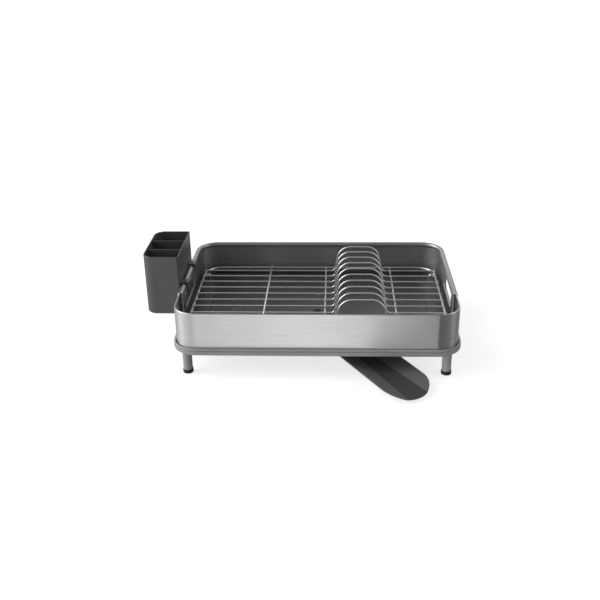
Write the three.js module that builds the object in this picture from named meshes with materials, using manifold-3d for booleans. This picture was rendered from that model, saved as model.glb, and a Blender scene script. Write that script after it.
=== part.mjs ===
// A countertop dish drying rack, in millimetres, +Z up, front towards -Y.
// A sheet-metal fence stands in a moulded base on four legs. A wire rack with plate arches lies
// inside it over a drip tray, a swivelling spout hangs under the tray's drain, and a cutlery
// holder hooks over the left wall. Everything is built round the fence's centre, then shifted so
// that the origin is the middle of the whole object's footprint.
import * as THREE from 'three';
import Module from 'manifold-3d';
import { mergeVertices } from 'three/addons/utils/BufferGeometryUtils.js';

const wasm = await Module();
wasm.setup();

// ---- driving dimensions ----
const FIT_GAP = 0.3;
const OVERLAP = 1;
const FAR = 400;
const CORNER_STEPS = 7;
const BEND_STEPS = 4;

const BASE_BOTTOM = 44;
const BASE_LEDGE = 50;
const BASE_LIP_TOP = 56.4;
const BASE_LIP_PROUD = 5;
const BASE_RING_WIDTH = 42;
const BASE_INNER_RADIUS = 18;

const LEG_X = 225;
const LEG_Y = 152.5;
const LEG_DIAMETER = 16.4;
const CAP_DIAMETER = 18.2;
const CAP_HEIGHT = 7.5;
const CAP_FLOOR = 3;
const CAP_PLAY = 0.2;
const ROUND_SIDES = 24;

const FENCE_WIDTH = 490;
const FENCE_DEPTH = 341;
const FENCE_RADIUS = 40;
const FENCE_TOP = 121;
const SHEET = 1.2;
const SEAM_Y = -84.3;
const BEAD_DIAMETER = 6.5;
const BEAD_WALL = 1.05;
const BEAD_SIDES = 12;
const BEAD_BITE = 0.5;
const FRONT_HEM_DEPTH = 3.4;
const FRONT_HEM_THICKNESS = 2.4;
const POST_THICKNESS = 4.8;
const POST_LENGTH = 14;
const POST_BEHIND_SEAM = 6;
const POST_ABOVE_TRAY = 1;
const HANDLE_LENGTH = 102;
const HANDLE_BOTTOM = 77;
const HANDLE_TOP = 105;
const HANDLE_RADIUS = 9;
const HANDLE_HEM = 3;

const TRAY_CLEARANCE = 7.5;
const TRAY_SHEET = 2;
const TRAY_RIM_TOP = 60;
const TRAY_FLOOR = 45.3;
const TRAY_WELL_GAP = 1.5;
const DRAIN_BORE = 16;
const SPIGOT_DIAMETER = 24;
const SPIGOT_BOTTOM = 30.9;
const CLIP_BOTTOM = 31.4;
const CLIP_THICKNESS = 1.6;
const CLIP_DIAMETER = 29;
const CLIP_GROOVE = 1.2;
const CLIP_MOUTH = 12;

const SPOUT_HEADING = 34.6;
const SPOUT_REACH = 301;
const SPOUT_HALF_WIDTH = 45;
const SPOUT_RIM_AT_PIVOT = 34.9;
const SPOUT_FALL = 3.6;
const SPOUT_DEPTH = 7.2;
const SPOUT_SHEET = 2.4;
const ROUND_END_SLACK = 0.01;
const CHANNEL_AT_PIVOT = 5;
const CHANNEL_AT_TIP = 21;
const HUB_DIAMETER = 38;
const DECK_BOTTOM = 33.4;
const DECK_TOP = 37;
const DECK_DIAMETER = 89;
const BACK_WALL_END = 9.5;

const RACK_HALF_X = 231;
const RACK_HALF_Y = 157;
const RACK_RADIUS = 34;
const FRAME_Z = 70;
const FRAME_WIRE = 4;
const PLATE_WIRE = 3;
const CROSS_WIRE = 3.5;
const WIRE_SIDES = 6;
const PLATE_WIRE_COUNT = 10;
const PLATE_WIRE_PITCH = 28;
const PLATE_WIRE_CENTRE_Y = 5;
const ARCH_CENTRE_X = 78.3;
const ARCH_FOOT_HALF = 47.6;
const ARCH_TOP_HALF = 36.5;
const ARCH_TOP_Z = 125;
const ARCH_FOOT_RADIUS = 8;
const ARCH_TOP_RADIUS = 25;
const CROSS_WIRE_X = [-96.6, 13.8, 142.9];
const CROSS_BEND_RUN = 10;
const CROSS_BEND_RADIUS = 12;
const CROSS_BEND_STEPS = 2;
const RACK_LEG_X = 220;
const RACK_LEG_Y = 121;
const RACK_LEG_RADIUS = 5;

const HOLDER_INNER_X = -249;
const HOLDER_WIDTH = 66;
const HOLDER_FRONT_Y = -50;
const HOLDER_BACK_Y = 86;
const HOLDER_BOTTOM = 62.5;
const HOLDER_TOP = 175;
const HOLDER_WALL = 2;
const HOLDER_FLOOR = 3;
const HOLDER_OUTER_RADIUS = 20;
const HOLDER_INNER_RADIUS = 3;
const DIVIDER_DROP = 2.5;
const COMPARTMENTS = 3;
const HOOK_YS = [-36, 50];
const HOOK_WIDTH = 14;
const HOOK_SHEET = 3;
const HOOK_BOTTOM = 107;

// ---- materials ----
const brushedSteel = new THREE.MeshStandardMaterial({ color: 0xbfbfbf, roughness: 0.35, metalness: 0.9 });
const coatedSteel = new THREE.MeshStandardMaterial({ color: 0x6a6a6a, roughness: 0.45, metalness: 0.6 });
const palePlastic = new THREE.MeshStandardMaterial({ color: 0x8b8b8b, roughness: 0.5, metalness: 0 });
const darkPlastic = new THREE.MeshStandardMaterial({ color: 0x4c4c4c, roughness: 0.55, metalness: 0 });
const brightWire = new THREE.MeshStandardMaterial({ color: 0xd8d8d8, roughness: 0.15, metalness: 1 });
const springSteel = new THREE.MeshStandardMaterial({ color: 0x9a9a9a, roughness: 0.35, metalness: 1 });
const blackRubber = new THREE.MeshStandardMaterial({ color: 0x1c1c1c, roughness: 0.8, metalness: 0 });

// ---- outlines and paths ----
const radians = THREE.MathUtils.degToRad;

function circle(diameter, sides) {
  const points = [];
  for (let i = 0; i < sides; i += 1) {
    const turn = (2 * Math.PI * i) / sides;
    points.push(new THREE.Vector2(Math.cos(turn), Math.sin(turn)).multiplyScalar(diameter / 2));
  }
  return points;
}

// Corner radii run front left, front right, back right, back left.
function roundedRect(x0, y0, x1, y1, radii) {
  const corners = [[x0, y0, 1, 1], [x1, y0, -1, 1], [x1, y1, -1, -1], [x0, y1, 1, -1]];
  const points = [];
  corners.forEach(([x, y, inX, inY], corner) => {
    const radius = radii[corner];
    for (let i = 0; i <= CORNER_STEPS; i += 1) {
      const turn = Math.PI * (1 + corner / 2 + i / (2 * CORNER_STEPS));
      const px = x + radius * (inX + Math.cos(turn));
      points.push(new THREE.Vector2(px, y + radius * (inY + Math.sin(turn))));
    }
  });
  return points;
}

function centredRect(width, depth, radius) {
  return roundedRect(-width / 2, -depth / 2, width / 2, depth / 2, Array(4).fill(radius));
}

// The fence's outline moved inwards by an inset, or outwards where it is negative.
function fenceOutline(inset) {
  return centredRect(FENCE_WIDTH - 2 * inset, FENCE_DEPTH - 2 * inset, FENCE_RADIUS - inset);
}

// A path whose corners are rounded to their own radii, as a list of points.
function filleted(corners, steps) {
  const points = [corners[0].point.clone()];
  for (let i = 1; i < corners.length - 1; i += 1) {
    const { point, radius } = corners[i];
    const along = point.clone().sub(corners[i - 1].point).normalize();
    const onward = corners[i + 1].point.clone().sub(point).normalize();
    const turn = along.angleTo(onward);
    const inward = onward.clone().addScaledVector(along, -onward.dot(along)).normalize();
    const start = point.clone().addScaledVector(along, -radius * Math.tan(turn / 2));
    for (let k = 0; k <= steps; k += 1) {
      const angle = (turn * k) / steps;
      const bend = start.clone().addScaledVector(along, radius * Math.sin(angle));
      points.push(bend.addScaledVector(inward, radius * (1 - Math.cos(angle))));
    }
  }
  points.push(corners[corners.length - 1].point.clone());
  return points;
}

function corner(x, y, z, radius = 0) {
  return { point: new THREE.Vector3(x, y, z), radius };
}

// A path through given points, so that an extrusion has one section at each of them.
class BentPath extends THREE.Curve {
  constructor(points) {
    super();
    this.points = points;
  }

  getPoint(t) {
    const last = this.points.length - 1;
    const i = Math.min(Math.floor(t * last), last - 1);
    return this.points[i].clone().lerp(this.points[i + 1], t * last - i);
  }

  getPointAt(u) {
    return this.getPoint(u);
  }

  getTangent(t) {
    const last = this.points.length - 1;
    const i = Math.round(t * last);
    const here = this.points[i];
    const tangent = new THREE.Vector3();
    if (i > 0) tangent.add(here.clone().sub(this.points[i - 1]).normalize());
    if (i < last) tangent.add(this.points[i + 1].clone().sub(here).normalize());
    return tangent.normalize();
  }

  getTangentAt(u) {
    return this.getTangent(u);
  }
}

// ---- solids ----
function prism(outline, bottom, top, holes = []) {
  const shape = new THREE.Shape(outline);
  shape.holes = holes.map((hole) => new THREE.Path(hole));
  const geometry = new THREE.ExtrudeGeometry(shape, { depth: top - bottom, bevelEnabled: false });
  return geometry.translate(0, 0, bottom);
}

function box(x0, x1, y0, y1, z0, z1) {
  const geometry = new THREE.BoxGeometry(x1 - x0, y1 - y0, z1 - z0);
  return geometry.translate((x0 + x1) / 2, (y0 + y1) / 2, (z0 + z1) / 2);
}

function sweep(points, outline, holes = []) {
  const shape = new THREE.Shape(outline);
  shape.holes = holes.map((hole) => new THREE.Path(hole));
  const extrudePath = new BentPath(points);
  return new THREE.ExtrudeGeometry(shape, { steps: points.length - 1, extrudePath });
}

function wire(points, diameter) {
  return sweep(points, circle(diameter, WIRE_SIDES));
}

function toManifold(geometry) {
  const bare = geometry.clone();
  bare.deleteAttribute('normal');
  bare.deleteAttribute('uv');
  const welded = mergeVertices(bare, 1e-4);
  const vertProperties = new Float32Array(welded.attributes.position.array);
  const triVerts = new Uint32Array(welded.index.array);
  return new wasm.Manifold(new wasm.Mesh({ numProp: 3, vertProperties, triVerts }));
}

function fromManifold(manifold) {
  const mesh = manifold.getMesh();
  const geometry = new THREE.BufferGeometry();
  geometry.setAttribute('position', new THREE.BufferAttribute(mesh.vertProperties, 3));
  geometry.setIndex(new THREE.BufferAttribute(mesh.triVerts, 1));
  geometry.computeVertexNormals();
  return geometry;
}

function join(...geometries) {
  return fromManifold(geometries.map(toManifold).reduce((whole, piece) => whole.add(piece)));
}

function cut(geometry, ...tools) {
  const start = toManifold(geometry);
  return fromManifold(tools.map(toManifold).reduce((left, tool) => left.subtract(tool), start));
}

function overlap(first, second) {
  return fromManifold(toManifold(first).intersect(toManifold(second)));
}

const rack = new THREE.Group();

function addPart(name, geometry, material) {
  const mesh = new THREE.Mesh(geometry, material);
  mesh.name = name;
  rack.add(mesh);
  return mesh;
}

// ---- base, legs and feet ----
function baseFrame() {
  const outer = fenceOutline(-BASE_LIP_PROUD);
  const width = FENCE_WIDTH + 2 * BASE_LIP_PROUD - 2 * BASE_RING_WIDTH;
  const depth = FENCE_DEPTH + 2 * BASE_LIP_PROUD - 2 * BASE_RING_WIDTH;
  const ring = prism(outer, BASE_BOTTOM, BASE_LEDGE, [centredRect(width, depth, BASE_INNER_RADIUS)]);
  const lip = prism(outer, BASE_LEDGE - OVERLAP, BASE_LIP_TOP, [fenceOutline(-2 * FIT_GAP)]);
  return join(ring, lip);
}

function leg() {
  return prism(circle(LEG_DIAMETER, ROUND_SIDES), CAP_FLOOR + FIT_GAP, BASE_BOTTOM - FIT_GAP);
}

function footCap() {
  const outer = prism(circle(CAP_DIAMETER, ROUND_SIDES), 0, CAP_HEIGHT);
  const socket = circle(LEG_DIAMETER + 2 * CAP_PLAY, ROUND_SIDES);
  return cut(outer, prism(socket, CAP_FLOOR, CAP_HEIGHT + OVERLAP));
}

function addLegs() {
  for (const [end, sy] of [['front', -1], ['back', 1]]) {
    for (const [side, sx] of [['left', -1], ['right', 1]]) {
      addPart(`leg_${end}_${side}`, leg(), palePlastic).position.set(sx * LEG_X, sy * LEG_Y, 0);
      const cap = addPart(`foot_cap_${end}_${side}`, footCap(), blackRubber);
      cap.position.set(sx * LEG_X, sy * LEG_Y, 0);
    }
  }
}

// ---- fence ----
const FENCE_FOOT = BASE_LEDGE + FIT_GAP;

function sheetRing(thickness, bottom, top) {
  return prism(fenceOutline(0), bottom, top, [fenceOutline(thickness)]);
}

function frontPanel() {
  const wall = sheetRing(SHEET, FENCE_FOOT, FENCE_TOP);
  const hem = sheetRing(FRONT_HEM_THICKNESS, FENCE_TOP - FRONT_HEM_DEPTH, FENCE_TOP);
  return overlap(join(wall, hem), box(-FAR, FAR, -FAR, SEAM_Y - FIT_GAP, 0, FAR));
}

// The rolled top edge, a hollow tube that is open at both seams.
function rolledRim() {
  const half = FENCE_WIDTH / 2 - BEAD_DIAMETER / 2;
  const back = FENCE_DEPTH / 2 - BEAD_DIAMETER / 2;
  const radius = FENCE_RADIUS - BEAD_DIAMETER / 2;
  const z = FENCE_TOP - BEAD_DIAMETER / 2;
  const ends = [corner(-half, SEAM_Y, z), corner(half, SEAM_Y, z)];
  const bends = [corner(-half, back, z, radius), corner(half, back, z, radius)];
  const path = filleted([ends[0], ...bends, ends[1]], CORNER_STEPS);
  const bore = circle(BEAD_DIAMETER - 2 * BEAD_WALL, BEAD_SIDES);
  return sweep(path, circle(BEAD_DIAMETER, BEAD_SIDES), [bore]);
}

// The folded end that stands behind the front panel's edge.
function endPost(side) {
  const outer = FENCE_WIDTH / 2 - SHEET - FIT_GAP;
  const inner = outer - POST_THICKNESS;
  const back = SEAM_Y + POST_BEHIND_SEAM;
  const top = FENCE_TOP - FRONT_HEM_DEPTH - FIT_GAP;
  const bottom = TRAY_RIM_TOP + POST_ABOVE_TRAY;
  const [x0, x1] = side < 0 ? [-outer, -inner] : [inner, outer];
  const post = box(x0, x1, back - POST_LENGTH, back, bottom, top);
  const reach = [side * outer - OVERLAP, side * outer + OVERLAP];
  return join(post, box(...reach, SEAM_Y, back, bottom, top));
}

function acrossX(outline, x0, x1) {
  const basis = new THREE.Matrix4().makeBasis(
    new THREE.Vector3(0, 1, 0),
    new THREE.Vector3(0, 0, 1),
    new THREE.Vector3(1, 0, 0),
  );
  return prism(outline, x0, x1).applyMatrix4(basis);
}

function handleOutline(margin) {
  const half = HANDLE_LENGTH / 2 + margin;
  const radius = HANDLE_RADIUS + margin;
  return roundedRect(-half, HANDLE_BOTTOM - margin, half, HANDLE_TOP + margin, Array(4).fill(radius));
}

function rearPanel() {
  const wall = sheetRing(SHEET, FENCE_FOOT, FENCE_TOP - BEAD_DIAMETER / 2 - BEAD_BITE);
  const rear = overlap(wall, box(-FAR, FAR, SEAM_Y, FAR, 0, FAR));
  const outer = FENCE_WIDTH / 2;
  const hems = [-1, 1].map((side) => {
    const [x0, x1] = side < 0 ? [-outer, HANDLE_HEM - outer] : [outer - HANDLE_HEM, outer];
    return acrossX(handleOutline(HANDLE_HEM), x0, x1);
  });
  const whole = join(rear, rolledRim(), endPost(-1), endPost(1), ...hems);
  return cut(whole, acrossX(handleOutline(0), -outer - OVERLAP, outer + OVERLAP));
}

// ---- drip tray and spout ----
const SPIGOT_GROOVE = SPIGOT_DIAMETER - 2 * CLIP_GROOVE;

function dripTray() {
  const around = 2 * (BASE_LIP_PROUD - BASE_RING_WIDTH - TRAY_WELL_GAP);
  const width = FENCE_WIDTH + around;
  const depth = FENCE_DEPTH + around;
  const well = centredRect(width, depth, BASE_INNER_RADIUS - TRAY_WELL_GAP);
  const wellInside = centredRect(
    width - 2 * TRAY_SHEET,
    depth - 2 * TRAY_SHEET,
    BASE_INNER_RADIUS - TRAY_WELL_GAP - TRAY_SHEET,
  );
  const edge = fenceOutline(TRAY_CLEARANCE);
  const ledge = BASE_LEDGE + FIT_GAP;
  const flange = prism(edge, ledge, ledge + TRAY_SHEET, [wellInside]);
  const rim = prism(edge, ledge, TRAY_RIM_TOP, [fenceOutline(TRAY_CLEARANCE + TRAY_SHEET)]);
  const wall = prism(well, TRAY_FLOOR, ledge + TRAY_SHEET, [wellInside]);
  const floor = prism(well, TRAY_FLOOR, TRAY_FLOOR + TRAY_SHEET);
  const spigot = prism(circle(SPIGOT_DIAMETER, ROUND_SIDES), SPIGOT_BOTTOM, TRAY_FLOOR + OVERLAP);
  const drain = prism(circle(DRAIN_BORE, ROUND_SIDES), 0, FAR);
  const grooveTop = CLIP_BOTTOM + CLIP_THICKNESS + FIT_GAP;
  const aroundSpigot = circle(SPIGOT_DIAMETER + 2 * OVERLAP, ROUND_SIDES);
  const waist = circle(SPIGOT_GROOVE, ROUND_SIDES);
  const grooveRing = prism(aroundSpigot, CLIP_BOTTOM - FIT_GAP, grooveTop, [waist]);
  return cut(join(flange, rim, wall, floor, spigot), drain, grooveRing);
}

function retainingClip() {
  const bore = circle(SPIGOT_GROOVE + 2 * FIT_GAP, ROUND_SIDES);
  const ring = prism(circle(CLIP_DIAMETER, ROUND_SIDES), CLIP_BOTTOM, CLIP_BOTTOM + CLIP_THICKNESS, [bore]);
  return cut(ring, box(-CLIP_DIAMETER, 0, -CLIP_MOUTH / 2, CLIP_MOUTH / 2, 0, FAR));
}

// The chute lies along +X from its pivot: sloping sides and a channel that widens to the tip.
// Its plain section is drawn with a narrow floor, which is then spread to the channel's width.
function chute() {
  const wide = SPOUT_HALF_WIDTH + OVERLAP;
  const narrow = 1;
  const under = SPOUT_DEPTH + SPOUT_SHEET;
  const upper = [[-wide, 0], [-narrow, -SPOUT_DEPTH], [narrow, -SPOUT_DEPTH], [wide, 0]];
  const lower = [[wide, -SPOUT_SHEET], [narrow, -under], [-narrow, -under], [-wide, -SPOUT_SHEET]];
  const section = [...upper, ...lower].map(([y, z]) => new THREE.Vector2(y, z));
  const geometry = acrossX(section, -SPOUT_HALF_WIDTH - OVERLAP, SPOUT_REACH + OVERLAP);
  const position = geometry.attributes.position;
  for (let i = 0; i < position.count; i += 1) {
    const y = position.getY(i);
    const along = Math.max(position.getX(i), 0) / SPOUT_REACH;
    const channel = CHANNEL_AT_PIVOT + (CHANNEL_AT_TIP - CHANNEL_AT_PIVOT) * along;
    if (Math.abs(y) < 2 * narrow) position.setY(i, Math.sign(y) * channel);
  }
  return geometry;
}

function spoutPlan(inset) {
  const half = SPOUT_HALF_WIDTH - inset;
  return roundedRect(-half, -half, SPOUT_REACH - inset, half, Array(4).fill(half - ROUND_END_SLACK));
}

function swivelSpout() {
  const edge = prism(spoutPlan(0), -SPOUT_DEPTH - SPOUT_SHEET, 0, [spoutPlan(SPOUT_SHEET)]);
  const backWall = overlap(edge, box(-FAR, BACK_WALL_END, -FAR, FAR, -FAR, FAR));
  const pan = overlap(chute(), prism(spoutPlan(0), -FAR, FAR));
  const tilted = join(pan, backWall).rotateY(radians(SPOUT_FALL)).translate(0, 0, SPOUT_RIM_AT_PIVOT);
  const deck = prism(circle(DECK_DIAMETER, 2 * ROUND_SIDES), DECK_BOTTOM, DECK_TOP);
  const hub = prism(circle(HUB_DIAMETER, ROUND_SIDES), DECK_BOTTOM, TRAY_FLOOR - FIT_GAP);
  const bore = prism(circle(SPIGOT_DIAMETER + 2 * FIT_GAP, ROUND_SIDES), DECK_BOTTOM - OVERLAP, FAR);
  return cut(join(tilted, deck, hub), bore);
}

function addSpout() {
  const spout = addPart('swivel_spout', swivelSpout(), darkPlastic);
  spout.rotation.z = radians(SPOUT_HEADING - 90);
}

// ---- wire rack ----
const PLATE_Z = FRAME_Z + FRAME_WIRE / 2 + FIT_GAP + PLATE_WIRE / 2;
const CROSS_OFFSET = PLATE_WIRE / 2 + FIT_GAP + CROSS_WIRE / 2;

function frameWire() {
  const start = FIT_GAP / 2;
  const bends = [[1, -1], [1, 1], [-1, 1], [-1, -1]].map(([sx, sy]) => (
    corner(sx * RACK_HALF_X, sy * RACK_HALF_Y, FRAME_Z, RACK_RADIUS)
  ));
  const ends = [corner(start, -RACK_HALF_Y, FRAME_Z), corner(-start, -RACK_HALF_Y, FRAME_Z)];
  return wire(filleted([ends[0], ...bends, ends[1]], CORNER_STEPS), FRAME_WIRE);
}

function plateWire(y) {
  const foot = ARCH_FOOT_HALF;
  const top = ARCH_TOP_HALF;
  const path = [
    corner(-RACK_HALF_X, y, PLATE_Z),
    corner(ARCH_CENTRE_X - foot, y, PLATE_Z, ARCH_FOOT_RADIUS),
    corner(ARCH_CENTRE_X - top, y, ARCH_TOP_Z, ARCH_TOP_RADIUS),
    corner(ARCH_CENTRE_X + top, y, ARCH_TOP_Z, ARCH_TOP_RADIUS),
    corner(ARCH_CENTRE_X + foot, y, PLATE_Z, ARCH_FOOT_RADIUS),
    corner(RACK_HALF_X, y, PLATE_Z),
  ];
  return wire(filleted(path, BEND_STEPS), PLATE_WIRE);
}

// The first cross wire lies on the plate wires and is bent down to the frame at its ends.
function upperCrossWire(x) {
  const landing = FRAME_Z + FRAME_WIRE / 2 + FIT_GAP + CROSS_WIRE / 2;
  const high = PLATE_Z + CROSS_OFFSET;
  const path = [
    corner(x, -RACK_HALF_Y, landing),
    corner(x, CROSS_BEND_RUN - RACK_HALF_Y, high, CROSS_BEND_RADIUS),
    corner(x, RACK_HALF_Y - CROSS_BEND_RUN, high, CROSS_BEND_RADIUS),
    corner(x, RACK_HALF_Y, landing),
  ];
  return wire(filleted(path, CROSS_BEND_STEPS), CROSS_WIRE);
}

function lowerCrossWire(x) {
  const half = RACK_HALF_Y - FRAME_WIRE / 2 - FIT_GAP;
  const z = PLATE_Z - CROSS_OFFSET;
  return wire([new THREE.Vector3(x, -half, z), new THREE.Vector3(x, half, z)], CROSS_WIRE);
}

function rackLeg(sx, sy) {
  const y = sy * RACK_LEG_Y;
  const frameSide = RACK_HALF_X - FRAME_WIRE / 2 - FIT_GAP;
  const bottom = BASE_LEDGE + TRAY_SHEET + 2 * FIT_GAP;
  const path = [
    corner(sx * frameSide, y, FRAME_Z),
    corner(sx * RACK_LEG_X, y, FRAME_Z, RACK_LEG_RADIUS),
    corner(sx * RACK_LEG_X, y, bottom),
  ];
  return wire(filleted(path, BEND_STEPS), CROSS_WIRE);
}

function addWireRack() {
  addPart('rack_frame_wire', frameWire(), brightWire);
  const last = PLATE_WIRE_CENTRE_Y + (PLATE_WIRE_PITCH * (PLATE_WIRE_COUNT - 1)) / 2;
  for (let i = 0; i < PLATE_WIRE_COUNT; i += 1) {
    const number = String(i + 1).padStart(2, '0');
    addPart(`plate_wire_${number}`, plateWire(last - i * PLATE_WIRE_PITCH), brightWire);
  }
  CROSS_WIRE_X.forEach((x, i) => {
    addPart(`cross_wire_${i + 1}`, i === 0 ? upperCrossWire(x) : lowerCrossWire(x), brightWire);
  });
  for (const [end, sy] of [['front', -1], ['back', 1]]) {
    for (const [side, sx] of [['left', -1], ['right', 1]]) {
      addPart(`rack_leg_${end}_${side}`, rackLeg(sx, sy), brightWire);
    }
  }
}

// ---- cutlery holder ----
function holderOutline(inset) {
  const outer = HOLDER_OUTER_RADIUS - inset;
  const inner = HOLDER_INNER_RADIUS - inset;
  return roundedRect(
    HOLDER_INNER_X - HOLDER_WIDTH + inset,
    HOLDER_FRONT_Y + inset,
    HOLDER_INNER_X - inset,
    HOLDER_BACK_Y - inset,
    [outer, inner, inner, outer],
  );
}

function hook(y) {
  const rimTop = FENCE_TOP + FIT_GAP;
  const rimInside = -FENCE_WIDTH / 2 + BEAD_DIAMETER + FIT_GAP;
  const [y0, y1] = [y - HOOK_WIDTH / 2, y + HOOK_WIDTH / 2];
  const strap = box(HOLDER_INNER_X - OVERLAP, rimInside + HOOK_SHEET, y0, y1, rimTop, rimTop + HOOK_SHEET);
  const tongue = box(rimInside, rimInside + HOOK_SHEET, y0, y1, HOOK_BOTTOM, rimTop + OVERLAP);
  return join(strap, tongue);
}

function cutleryHolder() {
  const inside = prism(holderOutline(HOLDER_WALL), HOLDER_BOTTOM + HOLDER_FLOOR, HOLDER_TOP + OVERLAP);
  const pitch = (HOLDER_BACK_Y - HOLDER_FRONT_Y) / COMPARTMENTS;
  const dividers = [];
  for (let i = 1; i < COMPARTMENTS; i += 1) {
    const y = HOLDER_FRONT_Y + i * pitch;
    const half = HOLDER_WALL / 2;
    const [x0, x1] = [HOLDER_INNER_X - HOLDER_WIDTH, HOLDER_INNER_X];
    dividers.push(box(x0, x1, y - half, y + half, HOLDER_BOTTOM, HOLDER_TOP - DIVIDER_DROP));
  }
  const shell = cut(prism(holderOutline(0), HOLDER_BOTTOM, HOLDER_TOP), cut(inside, ...dividers));
  return join(shell, ...HOOK_YS.map(hook));
}

// ---- assembly ----
addPart('base_frame', baseFrame(), palePlastic);
addLegs();
addPart('drip_tray', dripTray(), darkPlastic);
addPart('spout_retaining_clip', retainingClip(), springSteel);
addSpout();
addPart('front_panel', frontPanel(), brushedSteel);
addPart('rear_panel', rearPanel(), coatedSteel);
addWireRack();
addPart('cutlery_holder', cutleryHolder(), darkPlastic);

rack.updateMatrixWorld(true);
const footprint = new THREE.Box3().setFromObject(rack, true).getCenter(new THREE.Vector3());
rack.position.set(-footprint.x, -footprint.y, 0);

export default rack;
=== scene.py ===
import math

import bmesh
import bpy
from mathutils import Matrix, Vector


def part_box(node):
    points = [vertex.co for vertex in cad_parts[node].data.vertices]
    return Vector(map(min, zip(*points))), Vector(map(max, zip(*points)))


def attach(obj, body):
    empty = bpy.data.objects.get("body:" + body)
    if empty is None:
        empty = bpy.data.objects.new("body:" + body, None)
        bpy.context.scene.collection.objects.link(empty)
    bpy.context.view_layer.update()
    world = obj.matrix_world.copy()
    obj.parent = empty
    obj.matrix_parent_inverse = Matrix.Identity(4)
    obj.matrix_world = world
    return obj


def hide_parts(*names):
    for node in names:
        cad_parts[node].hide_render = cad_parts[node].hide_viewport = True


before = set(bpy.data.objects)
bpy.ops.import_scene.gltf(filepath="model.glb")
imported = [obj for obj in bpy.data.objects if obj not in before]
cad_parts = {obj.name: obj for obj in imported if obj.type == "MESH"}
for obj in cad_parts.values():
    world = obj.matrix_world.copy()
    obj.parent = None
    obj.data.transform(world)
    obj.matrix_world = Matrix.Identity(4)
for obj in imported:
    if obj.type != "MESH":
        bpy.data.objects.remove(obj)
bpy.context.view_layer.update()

# A countertop dish drying rack. Every shape is drawn in millimetres from the middle of the
# fence, the sheet-metal wall that runs round it, and is then moved to the fence's place in metres.
MM = 0.001
FRONT_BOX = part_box("front_panel")
REAR_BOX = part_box("rear_panel")
CENTRE = Vector((
    (FRONT_BOX[0].x + FRONT_BOX[1].x) / 2,
    (FRONT_BOX[0].y + REAR_BOX[1].y) / 2,
    0,
))


def local(node):
    """A CAD node's lowest and highest corners in millimetres from the fence's middle."""
    lo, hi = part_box(node)
    return (lo - CENTRE) / MM, (hi - CENTRE) / MM


# ---- sizes ----
FENCE_HALF_X = local("front_panel")[1].x
FENCE_HALF_Y = local("rear_panel")[1].y
FENCE_FOOT, FENCE_TOP = local("front_panel")[0].z, local("front_panel")[1].z
FENCE_RADIUS = 40
FIT_GAP = 0.3
SEAM_Y = local("front_panel")[1].y
SHEET = 1.2
BEAD_RADIUS = 4.6
BEAD_PROUD = 2.7
BEAD_FLARE = 2
BEAD_OVERLAP = math.radians(70)
HEM_DEPTH = 3.4
HEM_THICKNESS = 2.4
POST_FOOT = 61
POST_THICKNESS = 4.8
POST_BEHIND_SEAM = 6.3
POST_WIDTH = 14
HANDLE_HALF_LENGTH = 51
HANDLE_BOTTOM, HANDLE_TOP = 77, 105
HANDLE_RADIUS = 9
HANDLE_HEM = 3
HANDLE_HEM_DEPTH = 5
HANDLE_CUT_MARGIN = 0.8

BASE_BOTTOM, LIP_TOP = local("base_frame")[0].z, local("base_frame")[1].z
LEDGE = 50
LIP_PROUD = local("base_frame")[1].x - FENCE_HALF_X
LIP_STEP = LIP_PROUD - 0.6
LIP_STEP_RADIUS = 36
GROOVE_BOTTOM, GROOVE_TOP = 51, 53.3
GROOVE_DEPTH = 1.4
GROOVE_SLOPE = 0.6
UPPER_LIP_INSET = 0.2
BASE_RADIUS = FENCE_RADIUS + LIP_PROUD
BASE_RING = 42
BASE_OPENING_RADIUS = 18
CAP_FLOOR = 3

TRAY_BOTTOM, TRAY_RIM_TOP = local("drip_tray")[0].z, local("drip_tray")[1].z
TRAY_RIM_INSET = FENCE_HALF_X - local("drip_tray")[1].x
TRAY_SHEET = 2
TRAY_FLANGE = 50.3
TRAY_FLOOR = 45.3
WELL_INSET = 38.5
WELL_RADIUS = 16.5
WELL_FLOOR_RISE = 3.4
WELL_SLOPE_INSET = 14
DISH_OUTER_RADIUS, DISH_OUTER_RISE = 44, 2.3
DISH_RADIUS, DISH_RISE = 27, 2.1
DISH_STEP_RADIUS, DISH_STEP_RISE = 24.5, 1.5
DRAIN_LIP_RADIUS, DRAIN_LIP_RISE = 11, 1.1
DRAIN_RADIUS = 8
SPIGOT_RADIUS = 12
SPIGOT_GROOVE = 1.2
SPIGOT_TIP = 1.5
CLIP_RADIUS = 14.5
CLIP_HALF_MOUTH = 6
CLIP_BOTTOM, CLIP_TOP = local("spout_retaining_clip")[0].z, local("spout_retaining_clip")[1].z

SPOUT_HEADING = math.radians(34.6 - 90)
SPOUT_FALL = math.radians(3.6)
SPOUT_REACH = 301
SPOUT_HALF_WIDTH = 45
SPOUT_RIM = 34.9
SPOUT_DEPTH = 7.2
SPOUT_SHEET = 2.4
SPOUT_RIM_BACK = 9.5
CHANNEL_HALF_START, CHANNEL_WIDENING = 5, 16
DECK_BOTTOM, DECK_TOP = 33.4, 37
DECK_RADIUS = 44.5
HUB_RADIUS, HUB_NECK_RADIUS = 21, 19
HUB_NECK_Z = 39
CLEAR_OF_SPOUT = 60

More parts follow.
